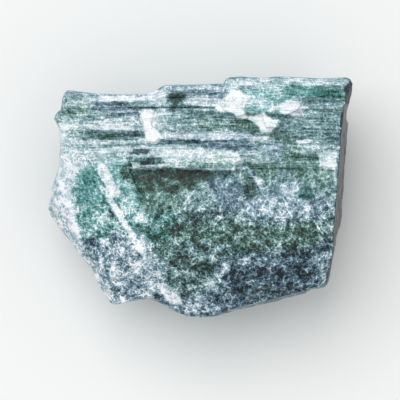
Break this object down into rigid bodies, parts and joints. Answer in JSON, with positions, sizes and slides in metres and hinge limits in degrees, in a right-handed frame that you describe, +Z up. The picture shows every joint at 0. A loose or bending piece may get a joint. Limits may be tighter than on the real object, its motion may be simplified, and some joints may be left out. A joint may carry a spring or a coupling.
{
  "type": "tourmaline crystal",
  "caption": "Cloudy green tourmaline crystal, a broken prismatic fragment with long growth lines and a slanting side face, lying on a flat prism face.",
  "frame": {"origin": "on the resting face, under the middle of the crystal's bounding box", "axes": "+X along the crystal's growth lines towards its broken end, +Y towards its grown side wall, +Z up from the resting face through the broad striated face"},
  "size_m": [0.0303, 0.0242, 0.0128],
  "materials": {
    "tourmaline": "cloudy green crystal, glassy on the grown faces and frosted where it is broken"
  },
  "bodies": {
    "root": {"crystal": "tourmaline"}
  },
  "joints": []
}
